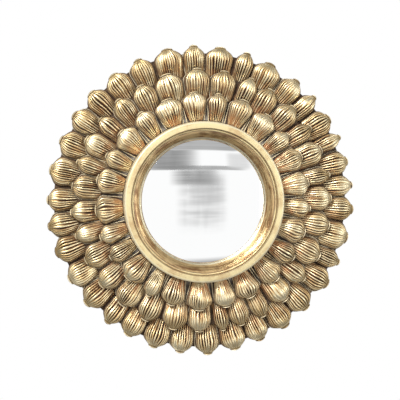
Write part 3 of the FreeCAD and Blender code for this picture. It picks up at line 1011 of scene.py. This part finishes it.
cameraLook = {
    "azimuth": -8.0,
    "elevation": 3.5,
    "distance": 2.4,
    "frameWidth": 0.634,      # width of the picture at the mirror
    "centre": (-0.004, -0.030, 0.002),
    "sensor": 36.0,
    "sees": 50,
}


def aimed(thing, place, target, name):
    piece = bpy.data.objects.new(name, thing)
    piece.location = place
    piece.rotation_mode = "QUATERNION"
    piece.rotation_quaternion = (Vector(target) - Vector(place)).to_track_quat("-Z", "Y")
    bpy.context.scene.collection.objects.link(piece)
    return piece


def addCamera():
    look = cameraLook
    data = bpy.data.cameras.new("camera")
    a, e = math.radians(look["azimuth"]), math.radians(look["elevation"])
    back = Vector((math.sin(a) * math.cos(e), -math.cos(a) * math.cos(e), math.sin(e)))
    centre = Vector(look["centre"])
    data.sensor_width = look["sensor"]
    data.lens = look["sensor"] * look["distance"] / look["frameWidth"]
    data.clip_end = look["sees"]
    bpy.context.scene.camera = aimed(data, centre + back * look["distance"], centre, "camera")


lamps = {
    # place, size, power in watts
    "key": ((-1.3, -1.8, 1.5), 1.0, 62),
    "fill": ((1.9, -1.7, 0.1), 1.2, 13),
    "rear": ((0.6, 2.2, 1.6), 1.2, 20),
}


def addLamps():
    for name, (place, size, power) in lamps.items():
        data = bpy.data.lights.new(name, "AREA")
        data.shape = "SQUARE"
        data.size, data.energy = size, power
        aimed(data, place, (0, 0, 0), name)


# Grey studio cards that only reflections see, in the glass and in the gold. Each has its
# middle, width, height, tilt in degrees, level, how soft its edges are from side to side and
# from top to bottom, where 1 fades all the way from the middle, and how much its streaks
# thin it out, from 0 for none to 1.
cards = {
    "topBand": ((0.7, -3.0, 1.27), 6.0, 0.36, (0, 0), 0.40, (0.05, 0.5), 0.2),
    "leftBlock": ((-0.44, -3.02, 0.87), 1.75, 0.56, (0, 0), 0.28, (1.0, 0.3), 0.15),
    "rightHaze": ((1.45, -3.03, 0.86), 0.9, 0.5, (0, 0), 0.72, (0.9, 0.7), 0.2),
    "thinBand": ((0.5, -3.04, 0.66), 2.6, 0.14, (0, 0), 0.40, (0.7, 0.9), 0.2),
    "smearTop": ((0.22, -3.06, 0.43), 1.4, 0.52, (0, 0), 0.32, (1.0, 0.9), 0.3),
    "smearMiddle": ((0.52, -3.07, 0.10), 1.1, 1.0, (0, 0), 0.58, (1.0, 1.0), 0.5),
    "smear": ((0.42, -3.08, -0.15), 1.5, 1.9, (0, 0), 0.60, (1.0, 1.0), 0.7),
    "above": ((0.0, -1.2, 2.1), 4.6, 3.0, (90, 0), 0.10, (0.2, 0.2), 0.0),
    "below": ((0.0, -1.74, -2.1), 4.8, 4.10, (-90, 0), 0.16, (0.2, 0.5), 0.0),
    "left": ((-2.2, -0.9, 0.0), 2.8, 4.4, (0, -90), 0.12, (0.2, 0.2), 0.0),
    "right": ((2.4, -1.2, 0.0), 3.2, 4.4, (0, 90), 0.14, (0.2, 0.2), 0.0),
    "brightStrip": ((2.35, -1.1, 0.2), 0.9, 1.8, (0, 90), 0.9, (0.8, 0.8), 0.0),
}

# how often the streaks change across and up a card, and how they are mixed
streakLook = {
    "bands": (0.8, 12),
    "columns": (7, 0.7),
    "bandShare": 0.7,
    "columnShare": 0.3,
}


def cardPaint(name, level, soft, streaks):
    f = Finish(name)
    u, v, _ = f.parts(f.add("ShaderNodeTexCoord", {}, {}, "UV"))
    mask = (u * (1 - u) * 4).smooth(0.0, soft[0]) * (v * (1 - v) * 4).smooth(0.0, soft[1])
    if streaks:
        look = streakLook
        bands, columns = (f.noise(1.0, 2, 0.5, at=f.joined(u * look[kind][0], v * look[kind][1], level))
                          for kind in ("bands", "columns"))
        streak = (bands * look["bandShare"] + columns * look["columnShare"]).smooth(0.34, 0.66)
        mask = mask * (1 - streaks * streak)
    clear = f.add("ShaderNodeBsdfTransparent", {}, {})
    f.surface(f.add("ShaderNodeMixShader", {}, {0: mask, 1: clear, 2: f.emission(level)}))
    return f


def addCards():
    for name, (middle, width, height, tilt, level, soft, streaks) in cards.items():
        deselectAll()
        bpy.ops.mesh.primitive_plane_add(size=1, location=middle,
                                         rotation=(math.radians(90 + tilt[0]), 0, math.radians(tilt[1])))
        card = bpy.context.object
        card.name = f"{name}Card"
        card.scale = (width, height, 1)
        card.data.materials.append(cardPaint(f"{name}_card", level, soft, streaks).material)
        card.visible_camera = False
        card.visible_diffuse = False
        card.visible_shadow = False
        card.visible_transmission = False


floorLook = {
    "level": -2.4,            # below the mirror's middle, under the camera's view
    "size": 16.0,
    "pale": (0.82, 0.81, 0.79),
    "dark": (0.787, 0.778, 0.758),
    "shown": 0.8,             # how much of it the camera sees as plain white
    "fade": (2.0, 7.0),       # from here to there it fades into the white background
}


def addFloor():
    look = floorLook
    deselectAll()
    bpy.ops.mesh.primitive_plane_add(size=look["size"], location=(0, 0, look["level"]))
    floor = bpy.context.object
    floor.name = "floor"
    f = Finish("pale_floor", Roughness=0.8)
    cloud = f.noise(1.5, 3, 0.5)
    f.set("Base Color", f.mix(cloud, look["pale"], look["dark"]))
    camera, reflected = f.rays()
    away = f.length(f.place())
    white = away.smooth(*look["fade"]) * (1 - look["shown"]) + look["shown"]
    lit = Num(f, f.shader.outputs[0])
    seen = (camera * white).high(reflected)
    f.surface(f.add("ShaderNodeMixShader", {}, {0: seen, 1: lit, 2: f.emission(1)}))
    floor.data.materials.append(f.material)


# how bright the white world is for what it lights, and for what sees it
worldLook = {"light": 0.30, "seen": 1.0}


def addWorld():
    world = bpy.data.worlds.new("studio")
    bpy.context.scene.world = world
    world.use_nodes = True
    w = Graph(world.node_tree)
    camera, reflected = w.rays()
    seen = camera.high(reflected)
    strength = seen * (worldLook["seen"] - worldLook["light"]) + worldLook["light"]
    background = world.node_tree.nodes["Background"]
    background.inputs["Color"].default_value = (1, 1, 1, 1)
    world.node_tree.links.new(strength.socket, background.inputs["Strength"])


addCamera()
addLamps()
addCards()
addFloor()
addWorld()
bpy.context.scene.view_settings.view_transform = "Standard"
print("scene set")
